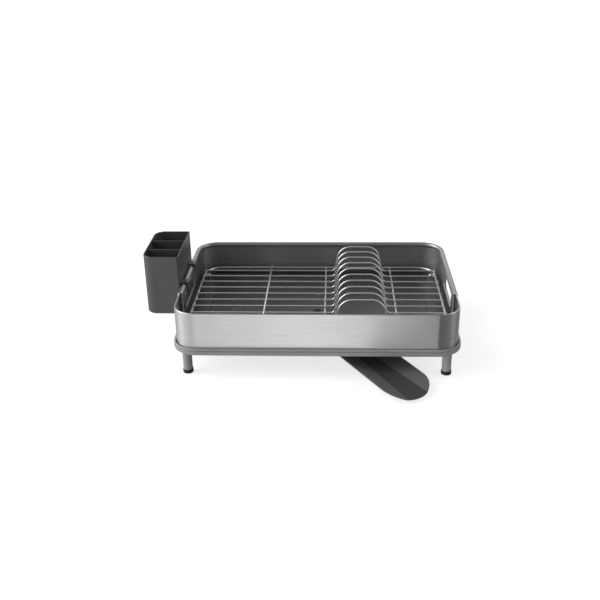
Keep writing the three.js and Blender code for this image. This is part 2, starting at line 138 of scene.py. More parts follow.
WIRE_RADIUS = 1.5
FRAME_WIRE_RADIUS = 2
CROSS_WIRE_RADIUS = 1.75
RACK_HALF_X = local("rack_frame_wire")[1].x - FRAME_WIRE_RADIUS
RACK_HALF_Y = local("rack_frame_wire")[1].y - FRAME_WIRE_RADIUS
RACK_RADIUS = 34
FRAME_WIRE_Z = local("rack_frame_wire")[1].z - FRAME_WIRE_RADIUS
PLATE_WIRES = [f"plate_wire_{i:02d}" for i in range(1, 11)]
PLATE_Z = local("plate_wire_01")[0].z + WIRE_RADIUS
ARCH_TOP = local("plate_wire_01")[1].z - WIRE_RADIUS
ARCH_X = 78.3
ARCH_HALF_FOOT, ARCH_HALF_TOP = 47.6, 36.5
ARCH_FOOT_RADIUS, ARCH_TOP_RADIUS = 8, 25
TIE_RAMP, TIE_RADIUS = 10, 12
RACK_LEG_RADIUS = 5
BUTT_HALF_GAP = 0.15

# ---- outlines and paths, as lists of vectors ----
ARC_STEPS = 14


def arc_corner(before, corner, after, radius, steps):
    """The points that round one corner off."""
    along = (corner - before).normalized()
    onward = (after - corner).normalized()
    turn = along.angle(onward)
    if radius <= 0 or turn < 1e-6:
        return [corner.copy()]
    inward = (onward - along * onward.dot(along)).normalized()
    start = corner - along * (radius * math.tan(turn / 2))
    points = []
    for k in range(steps + 1):
        angle = turn * k / steps
        side = inward * (radius * (1 - math.cos(angle)))
        points.append(start + along * (radius * math.sin(angle)) + side)
    return points


def rounded_path(corners, steps=ARC_STEPS):
    """An open path through (point, radius) corners."""
    points = [Vector(corners[0][0])]
    for i in range(1, len(corners) - 1):
        neighbours = [Vector(corners[i + k][0]) for k in (-1, 0, 1)]
        points += arc_corner(*neighbours, corners[i][1], steps)
    return points + [Vector(corners[-1][0])]


def rounded_outline(corners, steps=5):
    """A closed outline through (x, y, radius) corners."""
    points = []
    count = len(corners)
    for i, corner in enumerate(corners):
        around = [Vector(corners[(i + k) % count][:2]) for k in (-1, 0, 1)]
        points += arc_corner(*around, corner[2], steps)
    return points


def rounded_loop(half_x, half_y, radii, z, centre=(0, 0), steps=ARC_STEPS):
    """A level rounded rectangle. Its corners run front left, front right, back right, back left."""
    if not isinstance(radii, (tuple, list)):
        radii = [radii] * 4
    points = []
    for corner, (sx, sy) in enumerate(((-1, -1), (1, -1), (1, 1), (-1, 1))):
        radius = radii[corner]
        for k in range(steps + 1):
            turn = math.pi * (1 + corner / 2 + k / (2 * steps))
            x = centre[0] + sx * (half_x - radius) + radius * math.cos(turn)
            y = centre[1] + sy * (half_y - radius) + radius * math.sin(turn)
            points.append(Vector((x, y, z)))
    return points


def circle(radius, sides):
    turns = [2 * math.pi * i / sides for i in range(sides)]
    return [Vector((radius * math.cos(t), radius * math.sin(t))) for t in turns]


def fence_stations(seam, front):
    """Points and outward normals along the front or the back part of the fence, from seam to seam."""
    way = 1 if front else -1
    stations = [(Vector((-FENCE_HALF_X, seam)), Vector((-1, 0)))]
    for corner in (0, 1):
        sx = 2 * corner - 1
        middle = Vector((sx * (FENCE_HALF_X - FENCE_RADIUS), -way * (FENCE_HALF_Y - FENCE_RADIUS)))
        for k in range(ARC_STEPS + 1):
            turn = math.pi + way * math.pi / 2 * (corner + k / ARC_STEPS)
            normal = Vector((math.cos(turn), math.sin(turn)))
            stations.append((middle + normal * FENCE_RADIUS, normal))
    return stations + [(Vector((FENCE_HALF_X, seam)), Vector((1, 0)))]


# ---- solids, as bmeshes ----
def skinned(loops, closes=False, bm=None):
    """Joins matching closed loops with quads. The last loop joins the first, or both ends are capped."""
    bm = bm or bmesh.new()
    rows = [[bm.verts.new(point) for point in loop] for loop in loops]
    pairs = list(zip(rows, rows[1:]))
    if closes:
        pairs.append((rows[-1], rows[0]))
    else:
        bm.faces.new(rows[0][::-1])
        bm.faces.new(rows[-1])
    count = len(rows[0])
    for row, following in pairs:
        for i in range(count):
            j = (i + 1) % count
            bm.faces.new((row[i], row[j], following[j], following[i]))
    return bm


def swept(stations, profile):
    """A closed profile of (inset, height) points carried along stations of points and normals."""
    loops = []
    for point, normal in stations:
        flat = [point - normal * p.x for p in profile]
        loops.append([Vector((f.x, f.y, p.y)) for f, p in zip(flat, profile)])
    return skinned(loops)


def along_path(path, section, across, bm=None, domes=0):
    """A section carried along a path that lies in one plane, whose normal is across."""
    loops = []
    last = len(path) - 1
    across = Vector(across)
    for i, point in enumerate(path):
        tangent = (path[min(i + 1, last)] - path[max(i - 1, 0)]).normalized()
        side = tangent.cross(across)
        loops.append([point + side * s.x + across * s.y for s in section])
    for k in range(1, domes + 1):
        turn = math.pi / 2 * k / (domes + 0.5)
        for at, end, inner in ((0, path[0], path[1]), (len(loops), path[-1], path[-2])):
            outward = (end - inner).normalized() * section[0].length * math.sin(turn)
            side = (end - inner).normalized().cross(across) * (1 if at else -1)
            ring = [end + outward + (side * s.x + across * s.y) * math.cos(turn) for s in section]
            loops.insert(at, ring)
    return skinned(loops, bm=bm)


def wire(path, radius, across, bm=None):
    return along_path(path, circle(radius, 16), across, bm=bm, domes=3)


def turned(profile, sides=56, closes=False):
    """A solid of revolution about the vertical axis from (radius, height) points."""
    loops = []
    for p in profile:
        loops.append([Vector((c.x, c.y, p[1])) for c in circle(max(p[0], 1e-6), sides)])
    return skinned(loops, closes)


def block(lo, hi):
    corners = [(lo[0], lo[1]), (hi[0], lo[1]), (hi[0], hi[1]), (lo[0], hi[1])]
    return skinned([[Vector((x, y, z)) for x, y in corners] for z in (lo[2], hi[2])])


def moved(bm, matrix):
    bmesh.ops.transform(bm, matrix=matrix, verts=bm.verts)
    return bm


def tidied(bm):
    bmesh.ops.remove_doubles(bm, verts=bm.verts, dist=1e-4)
    bmesh.ops.recalc_face_normals(bm, faces=bm.faces)
    return bm


def combined(first, second, operation):
    """The exact union, difference or intersection of two closed solids."""
    objects = []
    for bm in (first, second):
        mesh = bpy.data.meshes.new("tool")
        tidied(bm).to_mesh(mesh)
        bm.free()
        obj = bpy.data.objects.new("tool", mesh)
        bpy.context.scene.collection.objects.link(obj)
        objects.append(obj)
    cut = objects[0].modifiers.new("cut", "BOOLEAN")
    cut.operation = operation
    cut.solver = "EXACT"
    cut.object = objects[1]
    result = bmesh.new()
    result.from_object(objects[0], bpy.context.evaluated_depsgraph_get())
    for obj in objects:
        bpy.data.meshes.remove(obj.data)
    return result


def make_piece(name, bm, body, slot, material, nodes=(), bevel=0.0):
    """Puts a finished solid in its place in metres and has it ride on its body."""
    move = Matrix.Translation(CENTRE) @ Matrix.Scale(MM, 4)
    mesh = bpy.data.meshes.new(name)
    moved(tidied(bm), move).to_mesh(mesh)
    bm.free()
    mesh.shade_smooth()
    mesh.set_sharp_from_angle(angle=math.radians(40))
    mesh.materials.append(material)
    piece = bpy.data.objects.new(name, mesh)
    bpy.context.scene.collection.objects.link(piece)
    if bevel:
        soften = piece.modifiers.new("soften", "BEVEL")
        soften.width = bevel * MM
        soften.segments = 3
        soften.limit_method = "ANGLE"
        soften.angle_limit = math.radians(50)
    even = piece.modifiers.new("even", "WEIGHTED_NORMAL")
    even.keep_sharp = True
    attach(piece, body)
    if nodes:
        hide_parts(*nodes)
    return piece


# ---- materials ----
def new_material(name, roughness, metallic):
    material = bpy.data.materials.new(name)
    material.use_nodes = True
    shader = material.node_tree.nodes["Principled BSDF"]
    shader.inputs["Metallic"].default_value = metallic
    shader.inputs["Roughness"].default_value = roughness
    return material, material.node_tree, shader


def noise(tree, scale, stretch=(1, 1, 1), detail=2.0):
    """Noise in the part's own metres, so scale is features to the metre."""
    coordinates = tree.nodes.new("ShaderNodeTexCoord")
    mapping = tree.nodes.new("ShaderNodeMapping")
    mapping.inputs["Scale"].default_value = stretch
    texture = tree.nodes.new("ShaderNodeTexNoise")
    texture.inputs["Scale"].default_value = scale
    texture.inputs["Detail"].default_value = detail
    tree.links.new(coordinates.outputs["Object"], mapping.inputs["Vector"])
    tree.links.new(mapping.outputs["Vector"], texture.inputs["Vector"])
    return texture.outputs["Fac"]


def ranged(tree, factor, low, high, start=0.3, end=0.7):
    node = tree.nodes.new("ShaderNodeMapRange")
    for socket, value in (("From Min", start), ("From Max", end), ("To Min", low), ("To Max", high)):
        node.inputs[socket].default_value = value
    tree.links.new(factor, node.inputs["Value"])
    return node.outputs["Result"]


def shades(tree, factor, dark, light):
    """A near grey that varies between two tones with a factor."""
    ramp = tree.nodes.new("ShaderNodeValToRGB")
    ramp.color_ramp.elements[0].position = 0.3
    ramp.color_ramp.elements[1].position = 0.7
    ramp.color_ramp.elements[0].color = (*dark, 1)
    ramp.color_ramp.elements[1].color = (*light, 1)
    tree.links.new(factor, ramp.inputs["Fac"])
    return ramp.outputs["Color"]


def bump(tree, height, distance, strength=1.0, under=None):
    node = tree.nodes.new("ShaderNodeBump")
    node.inputs["Distance"].default_value = distance * MM
    node.inputs["Strength"].default_value = strength
    tree.links.new(height, node.inputs["Height"])
    if under is not None:
        tree.links.new(under, node.inputs["Normal"])
    return node.outputs["Normal"]


def brushed_steel():
    """Stainless sheet with level brush lines."""
    material, tree, shader = new_material("brushed_steel", 0.34, 1.0)
    fine = noise(tree, 1.0, (22, 22, 2600), 3.0)
    broad = noise(tree, 1.0, (6, 6, 800), 2.0)
    colour = shades(tree, broad, (0.63, 0.63, 0.625), (0.69, 0.69, 0.685))
    tree.links.new(colour, shader.inputs["Base Color"])
    tree.links.new(ranged(tree, fine, 0.29, 0.40), shader.inputs["Roughness"])
    lines = bump(tree, fine, 0.012, 0.5)
    tree.links.new(bump(tree, broad, 0.012, 0.2, lines), shader.inputs["Normal"])
    tangent = tree.nodes.new("ShaderNodeTangent")
    tangent.direction_type = "RADIAL"
    tangent.axis = "Z"
    tree.links.new(tangent.outputs["Tangent"], shader.inputs["Tangent"])
    shader.inputs["Anisotropic"].default_value = 0.93
    shader.inputs["Anisotropic Rotation"].default_value = 0.25
    return material


def coated_steel():
    """Sheet with a satin grey metallic coat that has a faint orange peel."""
    material, tree, shader = new_material("coated_steel", 0.36, 0.75)
    peel = noise(tree, 520, detail=1.0)
    cloud = noise(tree, 9, detail=3.0)
    colour = shades(tree, cloud, (0.37, 0.37, 0.373), (0.44, 0.44, 0.443))
    tree.links.new(colour, shader.inputs["Base Color"])
    tree.links.new(ranged(tree, cloud, 0.30, 0.38), shader.inputs["Roughness"])
    tree.links.new(bump(tree, peel, 0.01, 0.5), shader.inputs["Normal"])
    return material


def moulded(name, dark, light, roughness, grain_depth):
    """Moulded plastic with a fine spark-eroded grain and slight flow clouds."""
    material, tree, shader = new_material(name, roughness, 0.0)
    grain = noise(tree, 1700, detail=2.0)
    cloud = noise(tree, 14, detail=4.0)
    colour = shades(tree, cloud, dark, light)
    tree.links.new(colour, shader.inputs["Base Color"])
    tree.links.new(ranged(tree, grain, roughness - 0.06, roughness + 0.08), shader.inputs["Roughness"])
    tree.links.new(bump(tree, grain, grain_depth, 0.8), shader.inputs["Normal"])
    return material


def bright_wire():
    """Electropolished wire with faint drawing marks."""
    material, tree, shader = new_material("bright_wire", 0.16, 1.0)
    marks = noise(tree, 260, detail=2.0)
    colour = shades(tree, marks, (0.86, 0.86, 0.86), (0.94, 0.94, 0.935))
    tree.links.new(colour, shader.inputs["Base Color"])
    tree.links.new(ranged(tree, marks, 0.27, 0.33), shader.inputs["Roughness"])
    tree.links.new(bump(tree, marks, 0.012, 0.3), shader.inputs["Normal"])
    return material


def weld_metal(name):
    """Weld metal and raw cut edges, a little rougher and duller than the wire."""
    material, tree, shader = new_material(name, 0.3, 1.0)
    pits = noise(tree, 900, detail=3.0)
    colour = shades(tree, pits, (0.66, 0.65, 0.63), (0.88, 0.87, 0.85))
    tree.links.new(colour, shader.inputs["Base Color"])
    tree.links.new(ranged(tree, pits, 0.22, 0.38), shader.inputs["Roughness"])
    tree.links.new(bump(tree, pits, 0.05, 0.5), shader.inputs["Normal"])
    return material


def spring_steel():
    material, tree, shader = new_material("spring_steel", 0.3, 1.0)
    marks = noise(tree, 700, detail=3.0)
    colour = shades(tree, marks, (0.30, 0.29, 0.28), (0.44, 0.43, 0.41))
    tree.links.new(colour, shader.inputs["Base Color"])
    tree.links.new(ranged(tree, marks, 0.26, 0.4), shader.inputs["Roughness"])
    return material


def black_rubber():
    material, tree, shader = new_material("black_rubber", 0.62, 0.0)
    dust = noise(tree, 60, detail=4.0)
    skin = noise(tree, 1300, detail=2.0)
    colour = shades(tree, dust, (0.012, 0.012, 0.012), (0.030, 0.030, 0.030))
    tree.links.new(colour, shader.inputs["Base Color"])
    tree.links.new(ranged(tree, dust, 0.55, 0.75), shader.inputs["Roughness"])
    tree.links.new(bump(tree, skin, 0.03, 0.5), shader.inputs["Normal"])
    return material


STEEL = brushed_steel()
COATED = coated_steel()
PALE = moulded("pale_plastic", (0.37, 0.37, 0.37), (0.43, 0.43, 0.43), 0.42, 0.02)
HOLDER_GREY = moulded("holder_plastic", (0.085, 0.085, 0.086), (0.105, 0.105, 0.106), 0.36, 0.03)
# The tray's plastic is the holder's dark plastic made darker: painted shade for the tray down inside the
# fence.
TRAY_SHADED_GREY = moulded("tray_plastic_painted_shade", (0.064, 0.064, 0.065), (0.080, 0.080, 0.081), 0.36, 0.03)
# The spout's plastic is the holder's dark plastic made lighter: painted light for its lit sloping faces.
SPOUT_LIT_GREY = moulded("spout_plastic_painted_light", (0.132, 0.132, 0.133), (0.158, 0.158, 0.159), 0.40, 0.03)
# The chute's channel floor: the spout plastic at about half its tone, the darkness painted shade, with a
# lower roughness.
SHADED_CHANNEL_PLASTIC = moulded("channel_plastic_painted_shade", (0.066, 0.066, 0.067), (0.078, 0.078, 0.079), 0.27, 0.006)
CUT_EDGE = weld_metal("cut_edge")
WIRE = bright_wire()
WELD = weld_metal("weld_metal")
SPRING = spring_steel()
RUBBER = black_rubber()


# ---- base, legs and feet ----
def base_radius(inset):
    """The corner radius of the base's outline, whose lip is thinner at its corners."""
    known = (
        (0, BASE_RADIUS), (2, BASE_RADIUS - 2), (LIP_STEP, LIP_STEP_RADIUS),
        (BASE_RING, BASE_OPENING_RADIUS),
    )
    for (low, start), (high, end) in zip(known, known[1:]):
        if inset <= high:
            return start + (end - start) * (inset - low) / (high - low)
    return BASE_OPENING_RADIUS


def add_base():
    outline = rounded_outline([
        (BASE_RING, BASE_BOTTOM, 0.8),
        (0, BASE_BOTTOM, 1.8),
        (0, GROOVE_BOTTOM, 0.5),
        (GROOVE_DEPTH, GROOVE_BOTTOM + GROOVE_SLOPE, 0.3),
        (GROOVE_DEPTH, GROOVE_TOP - GROOVE_SLOPE, 0.3),
        (UPPER_LIP_INSET, GROOVE_TOP, 0.5),
        (UPPER_LIP_INSET, LIP_TOP, 1.6),
        (LIP_STEP, LIP_TOP, 0.8),
        (LIP_STEP, LEDGE, 0.8),
        (BASE_RING, LEDGE, 1.2),
    ])
    loops = []
    for p in outline:
        half_x = FENCE_HALF_X + LIP_PROUD - p.x
        half_y = FENCE_HALF_Y + LIP_PROUD - p.x
        loops.append(rounded_loop(half_x, half_y, base_radius(p.x), p.y))
    make_piece("base_moulding", skinned(loops, True), "base", "pale_plastic", PALE, ["base_frame"])


def leg_profile(lo, hi):
    """A round leg with softened ends."""
    radius = (hi.x - lo.x) / 2
    soft, middle = 1, 0.3
    return [
        (0, lo.z), (radius - soft, lo.z), (radius - middle, lo.z + middle), (radius, lo.z + soft),
        (radius, hi.z - soft), (radius - middle, hi.z - middle), (radius - soft, hi.z), (0, hi.z),
    ]


def cap_profile(lo, hi, leg_radius):
    """A rubber cup with a solid floor that the leg stands in."""
    radius = (hi.x - lo.x) / 2
    socket = leg_radius + 0.2
    floor = lo.z + CAP_FLOOR
    axis = 0.01
    rounded = rounded_outline([
        (axis, lo.z, 0), (radius - 0.4, lo.z, 1.4), (radius, lo.z + 2.5, 1.2),
        (radius, hi.z, 0.6), (socket, hi.z, 0.2), (socket, floor, 0.2), (axis, floor, 0),
    ])
    return [(p.x, p.y) for p in rounded]


def add_legs():
    for end in ("front", "back"):
        for side in ("left", "right"):
            lo, hi = local(f"leg_{end}_{side}")
            place = Matrix.Translation(((lo.x + hi.x) / 2, (lo.y + hi.y) / 2, 0))
            leg = moved(turned(leg_profile(lo, hi)), place)
            node = f"leg_{end}_{side}"
            make_piece(f"moulded_leg_{end}_{side}", leg, "base", "pale_plastic", PALE, [node])
            node = f"foot_cap_{end}_{side}"
            cap = moved(turned(cap_profile(*local(node), (hi.x - lo.x) / 2)), place)
            make_piece(f"rubber_foot_{end}_{side}", cap, "base", "black_rubber", RUBBER, [node])


# ---- fence ----
def add_front_panel():
    turn_in = HEM_THICKNESS / 2
    outline = rounded_outline([
        (0, FENCE_FOOT, 0.3),
        (0, FENCE_TOP, turn_in - 0.01),
        (HEM_THICKNESS, FENCE_TOP, turn_in - 0.01),
        (HEM_THICKNESS, FENCE_TOP - HEM_DEPTH, 0.3),
        (SHEET, FENCE_TOP - HEM_DEPTH, 0.1),
        (SHEET, FENCE_FOOT, 0.3),
    ])
    panel = swept(fence_stations(SEAM_Y, True), outline)
    make_piece("front_sheet", panel, "fence", "brushed_steel", STEEL, ["front_panel"])


def rear_profile():
    """The wall's section, whose top edge flares out and curls over into a hollow bead."""
    middle = Vector((BEAD_RADIUS - BEAD_PROUD, FENCE_TOP - BEAD_RADIUS))
    reach = BEAD_RADIUS + BEAD_FLARE
    flare = math.acos((middle.x + BEAD_FLARE) / reach)
    bend = Vector((-BEAD_FLARE, middle.y - reach * math.sin(flare)))
    outer = [Vector((0, FENCE_FOOT))]
    inner = [Vector((SHEET, FENCE_FOOT))]
    flare_steps, curl_steps = 6, 36
    for k in range(flare_steps):
        turn = flare * k / flare_steps
        way = Vector((math.cos(turn), math.sin(turn)))
        outer.append(bend + way * BEAD_FLARE)
        inner.append(bend + way * (BEAD_FLARE + SHEET))
    start = math.pi + flare
    for k in range(curl_steps + 1):
        turn = start - (start + BEAD_OVERLAP) * k / curl_steps
        way = Vector((math.cos(turn), math.sin(turn)))
        outer.append(middle + way * BEAD_RADIUS)
        inner.append(middle + way * (BEAD_RADIUS - SHEET))
    return outer + inner[::-1]


def end_post(side):
    """The channel folded from the wall's end, open towards the front panel's edge."""
    top = FENCE_TOP - HEM_DEPTH - FIT_GAP
    outer = FENCE_HALF_X - SHEET - FIT_GAP
    inner = outer - POST_THICKNESS
    back = SEAM_Y + POST_BEHIND_SEAM
    front = back - POST_WIDTH
    plan = rounded_outline([
        (outer, front, 0.4), (outer, back, 1.4), (inner, back, 1.4), (inner, front, 0.4),
        (inner + SHEET, front, 0.4), (inner + SHEET, back - SHEET, 0.3),
        (outer - SHEET, back - SHEET, 0.3), (outer - SHEET, front, 0.4),
    ])
    return skinned([[Vector((side * p.x, p.y, z)) for p in plan] for z in (POST_FOOT, top)])


def handle_outline(margin, x):
    half = HANDLE_HALF_LENGTH + margin
    lo, hi = HANDLE_BOTTOM - margin, HANDLE_TOP + margin
    loop = rounded_loop(half, (hi - lo) / 2, HANDLE_RADIUS + margin, 0, (0, (lo + hi) / 2))
    return [Vector((x, p.x, p.y)) for p in loop]


def handle_hem(side):
    """The folded lining of one grip opening, just proud of the wall outside."""
    proud = -0.12
    outline = rounded_outline([
        (0, proud, 1.2), (HANDLE_HEM, proud, 0.3),
        (HANDLE_HEM, HANDLE_HEM_DEPTH, 1.0), (0, HANDLE_HEM_DEPTH, 1.3),
    ])
    loops = [handle_outline(p.x, side * (FENCE_HALF_X - p.y)) for p in outline]
    return skinned(loops, True)


def add_rear_panel():
    """The wall with its two grip openings. Its two cut ends at the seams are bare metal."""
    panel = swept(fence_stations(SEAM_Y + FIT_GAP, False), rear_profile())
    through = 5
    for side in (-1, 1):
        ends = (side * (FENCE_HALF_X - through), side * (FENCE_HALF_X + through))
        plug = skinned([handle_outline(HANDLE_CUT_MARGIN, x) for x in ends])
        panel = combined(panel, plug, "DIFFERENCE")
    sheet = make_piece("rear_sheet", panel, "fence", "coated_steel", COATED, ["rear_panel"])
    sheet.data.materials.append(CUT_EDGE)
    seam = min(vertex.co.y for vertex in sheet.data.vertices)
    for face in sheet.data.polygons:
        face.material_index = int(face.center.y < seam + 0.1 * MM)
    for side, word in ((-1, "left"), (1, "right")):
        make_piece(f"handle_lining_{word}", handle_hem(side), "fence", "coated_steel", COATED)
        make_piece(f"seam_channel_{word}", end_post(side), "fence", "coated_steel", COATED)


# ---- drip tray ----
def tray_loop(inset, z, radius):
    return rounded_loop(FENCE_HALF_X - inset, FENCE_HALF_Y - inset, radius, z)


def disc_loop(radius, z):
    return rounded_loop(radius, radius, radius, z)


def drain_discs():
    """Rings from the dished floor in to the drain, down the spigot's bore and up its outside."""
    groove_top, groove_bottom = CLIP_TOP + FIT_GAP, CLIP_BOTTOM - FIT_GAP
    waist = SPIGOT_RADIUS - SPIGOT_GROOVE
    return [
        (DISH_OUTER_RADIUS, TRAY_FLOOR + DISH_OUTER_RISE),
        (DISH_RADIUS, TRAY_FLOOR + DISH_RISE),
        (DISH_STEP_RADIUS, TRAY_FLOOR + DISH_STEP_RISE),
        (DRAIN_LIP_RADIUS, TRAY_FLOOR + DRAIN_LIP_RISE),
        (DRAIN_RADIUS + 1, TRAY_FLOOR + 0.7),
        (DRAIN_RADIUS, TRAY_FLOOR - 0.6),
        (DRAIN_RADIUS, TRAY_BOTTOM + 0.4),
        (DRAIN_RADIUS + 0.4, TRAY_BOTTOM),
        (SPIGOT_RADIUS - SPIGOT_TIP, TRAY_BOTTOM),
        (waist, groove_bottom - 0.02),
        (waist, groove_bottom),
        (waist, groove_top),
        (SPIGOT_RADIUS, groove_top),
        (SPIGOT_RADIUS, TRAY_FLOOR - 1),
        (SPIGOT_RADIUS + 1, TRAY_FLOOR),
    ]


def add_tray():
    rim = TRAY_RIM_INSET
    flange = TRAY_FLANGE + TRAY_SHEET
    inner_well = WELL_INSET + TRAY_SHEET
    outline = rounded_outline([
        (WELL_INSET, TRAY_FLOOR, 2.5),
        (WELL_INSET, TRAY_FLANGE, 0.3),
        (rim, TRAY_FLANGE, 1.5),
        (rim, TRAY_RIM_TOP, 0.95),
        (rim + TRAY_SHEET, TRAY_RIM_TOP, 0.95),
        (rim + TRAY_SHEET, flange, 2.5),
        (inner_well, flange, 2),
        (inner_well, TRAY_FLOOR + WELL_FLOOR_RISE, 2.5),
        (inner_well + WELL_SLOPE_INSET, TRAY_FLOOR + 3.1, 0),
        (inner_well + WELL_SLOPE_INSET, TRAY_FLOOR, 0),
    ])[:-2]
    loops = []
    for p in outline:
        share = min(max((p.x - rim) / (inner_well - rim), 0), 1)
        rim_radius = FENCE_RADIUS - rim
        radius = rim_radius + (WELL_RADIUS - TRAY_SHEET - rim_radius) * share
        loops.append(tray_loop(p.x, p.y, max(radius - max(p.x - inner_well, 0), 3)))
    loops += [disc_loop(radius, z) for radius, z in drain_discs()]
    make_piece("tray_moulding", skinned(loops, True), "base", "dark_plastic", TRAY_SHADED_GREY, ["drip_tray"])


def add_clip():
    """The sprung ring that snaps into the spigot's groove, open on one side."""
    mouth = math.asin(CLIP_HALF_MOUTH / CLIP_RADIUS)
    steps = 40
    stations = []
    for k in range(steps + 1):
        turn = -math.pi + mouth + (2 * math.pi - 2 * mouth) * k / steps
        normal = Vector((math.cos(turn), math.sin(turn)))
        stations.append((normal * CLIP_RADIUS, normal))
    width = CLIP_RADIUS - (SPIGOT_RADIUS - SPIGOT_GROOVE + FIT_GAP)
    outline = rounded_outline([
        (0, CLIP_BOTTOM, 0.4), (width, CLIP_BOTTOM, 0.4), (width, CLIP_TOP, 0.4), (0, CLIP_TOP, 0.4),
    ], 3)
    node = ["spout_retaining_clip"]
    make_piece("snap_ring", swept(stations, outline), "base", "spring_steel", SPRING, node)


# ---- swivelling spout ----
def channel_half(x):
    """Half the width of the chute's channel, which widens towards the tip."""
    return CHANNEL_HALF_START + CHANNEL_WIDENING * max(x, 0) / SPOUT_REACH


def chute_height(x, y):
    """The chute's upper face: two sides that slope down to a flat channel, with soft folds."""
    softness = 1.6
    beyond = abs(y) - channel_half(x)
    rise = (beyond + math.hypot(beyond, softness)) / 2
    return rise * SPOUT_DEPTH / (SPOUT_HALF_WIDTH - channel_half(x)) - SPOUT_DEPTH


def chute_columns(x):
    """Places across the chute, closer together over the folds."""
    half = channel_half(x)
    wide = SPOUT_HALF_WIDTH + 2
    right = [(half - 2) * k / 3 for k in range(3)]
    right += [half + offset for offset in (-2, -1, 0, 1, 2, 4)]
    right += [half + 4 + (wide - half - 4) * k / 4 for k in range(1, 5)]
    return [-y for y in right[:0:-1]] + right


def chute():
    loops = []
    stations = 30
    start, end = -SPOUT_HALF_WIDTH - 3, SPOUT_REACH + 3
    for k in range(stations + 1):
        x = start + (end - start) * k / stations
        top = [Vector((x, y, chute_height(x, y))) for y in chute_columns(x)]
        under = [p - Vector((0, 0, SPOUT_SHEET)) for p in reversed(top)]
        loops.append(top + under)
    return skinned(loops)


def spout_plan(inset, lo, hi):
    middle = (SPOUT_REACH - SPOUT_HALF_WIDTH) / 2
    half = (SPOUT_REACH + SPOUT_HALF_WIDTH) / 2 - inset
    width = SPOUT_HALF_WIDTH - inset
    return skinned([rounded_loop(half, width, width, z, (middle, 0), 32) for z in (lo, hi)])


def paint_channel_shade(bm, level):
    """Gives the channel's floor the second material, a darker and smoother copy of the plastic: its
    darkness is painted shade, its smoothness a lower roughness.
    """
    for face in bm.faces:
        centre = level @ face.calc_center_median()
        low = abs(centre.z + SPOUT_DEPTH) < 0.7
        in_channel = abs(centre.y) < channel_half(centre.x) + 0.2
        if low and in_channel and face.normal.z > 0.9:
            face.material_index = 1


def spout_pan():
    """The chute cut to its rounded plan, with an upright edge round its back end."""
    far = CLEAR_OF_SPOUT
    pan = combined(chute(), spout_plan(0, -far, far), "INTERSECT")
    edge = spout_plan(0, -SPOUT_DEPTH - SPOUT_SHEET, 0)
    edge = combined(edge, spout_plan(SPOUT_SHEET, -far, far), "DIFFERENCE")
    back = combined(edge, block((-100, -far, -far), (SPOUT_RIM_BACK, far, far)), "INTERSECT")
    return combined(pan, back, "UNION")


def spout_deck():
    """The round plate under the tray, which carries the hub."""
    lower, upper = 0.5, 0.8
    return turned([
        (0, DECK_BOTTOM), (DECK_RADIUS - lower, DECK_BOTTOM), (DECK_RADIUS, DECK_BOTTOM + lower),
        (DECK_RADIUS, DECK_TOP - upper), (DECK_RADIUS - upper, DECK_TOP), (0, DECK_TOP),
    ], 96)


def spout_hub():
    """The collar that turns on the tray's spigot, flared where it meets the deck."""
    top = TRAY_FLOOR - FIT_GAP
    soft = 0.8
    return turned([
        (0, DECK_BOTTOM), (HUB_RADIUS, DECK_BOTTOM + 0.6), (HUB_RADIUS - 1, DECK_TOP + 0.4),
        (HUB_NECK_RADIUS, HUB_NECK_Z), (HUB_NECK_RADIUS, top - soft),
        (HUB_NECK_RADIUS - soft, top), (0, top),
    ], 64)


def add_spout():
    fall = Matrix.Translation((0, 0, SPOUT_RIM)) @ Matrix.Rotation(SPOUT_FALL, 4, "Y")
    pan = spout_pan()
    whole = combined(moved(pan, fall), combined(spout_deck(), spout_hub(), "UNION"), "UNION")
    bore_radius = SPIGOT_RADIUS + FIT_GAP
    bore = turned([(0, 20), (bore_radius, 20), (bore_radius, 60), (0, 60)], 64)
    whole = combined(whole, bore, "DIFFERENCE")
    paint_channel_shade(whole, fall.inverted())
    moved(whole, Matrix.Rotation(SPOUT_HEADING, 4, "Z"))
    node = ["swivel_spout"]
    spout = make_piece("spout_moulding", whole, "spout", "dark_plastic", SPOUT_LIT_GREY, node, 0.9)
    spout.data.materials.append(SHADED_CHANNEL_PLASTIC)


# ---- wire rack ----
def frame_wire_path():
    """Once round the rack. The two ends butt together in the middle of the front."""
    bends = [(1, -1), (1, 1), (-1, 1), (-1, -1)]
    corners = [((BUTT_HALF_GAP, -RACK_HALF_Y, FRAME_WIRE_Z), 0)]
    corners += [((sx * RACK_HALF_X, sy * RACK_HALF_Y, FRAME_WIRE_Z), RACK_RADIUS) for sx, sy in bends]
    return rounded_path(corners + [((-BUTT_HALF_GAP, -RACK_HALF_Y, FRAME_WIRE_Z), 0)])


def plate_wire_path(y):
    """From the frame's left side to its right side, with one plate arch on the way."""
    return rounded_path([
        ((-RACK_HALF_X, y, PLATE_Z), 0),
        ((ARCH_X - ARCH_HALF_FOOT, y, PLATE_Z), ARCH_FOOT_RADIUS),
        ((ARCH_X - ARCH_HALF_TOP, y, ARCH_TOP), ARCH_TOP_RADIUS),
        ((ARCH_X + ARCH_HALF_TOP, y, ARCH_TOP), ARCH_TOP_RADIUS),
        ((ARCH_X + ARCH_HALF_FOOT, y, PLATE_Z), ARCH_FOOT_RADIUS),
        ((RACK_HALF_X, y, PLATE_Z), 0),
    ])


def cross_wire_path(node):
    """The straight lower cross wires, and the upper one that bends down to the frame at its ends."""
    lo, hi = local(node)
    x, high = (lo.x + hi.x) / 2, hi.z - CROSS_WIRE_RADIUS
    if high < PLATE_Z:
        return [Vector((x, lo.y, high)), Vector((x, hi.y, high))]
    landing = FRAME_WIRE_Z + FRAME_WIRE_RADIUS + CROSS_WIRE_RADIUS
    return rounded_path([
        ((x, -RACK_HALF_Y, landing), 0), ((x, TIE_RAMP - RACK_HALF_Y, high), TIE_RADIUS),
        ((x, RACK_HALF_Y - TIE_RAMP, high), TIE_RADIUS), ((x, RACK_HALF_Y, landing), 0),
    ])


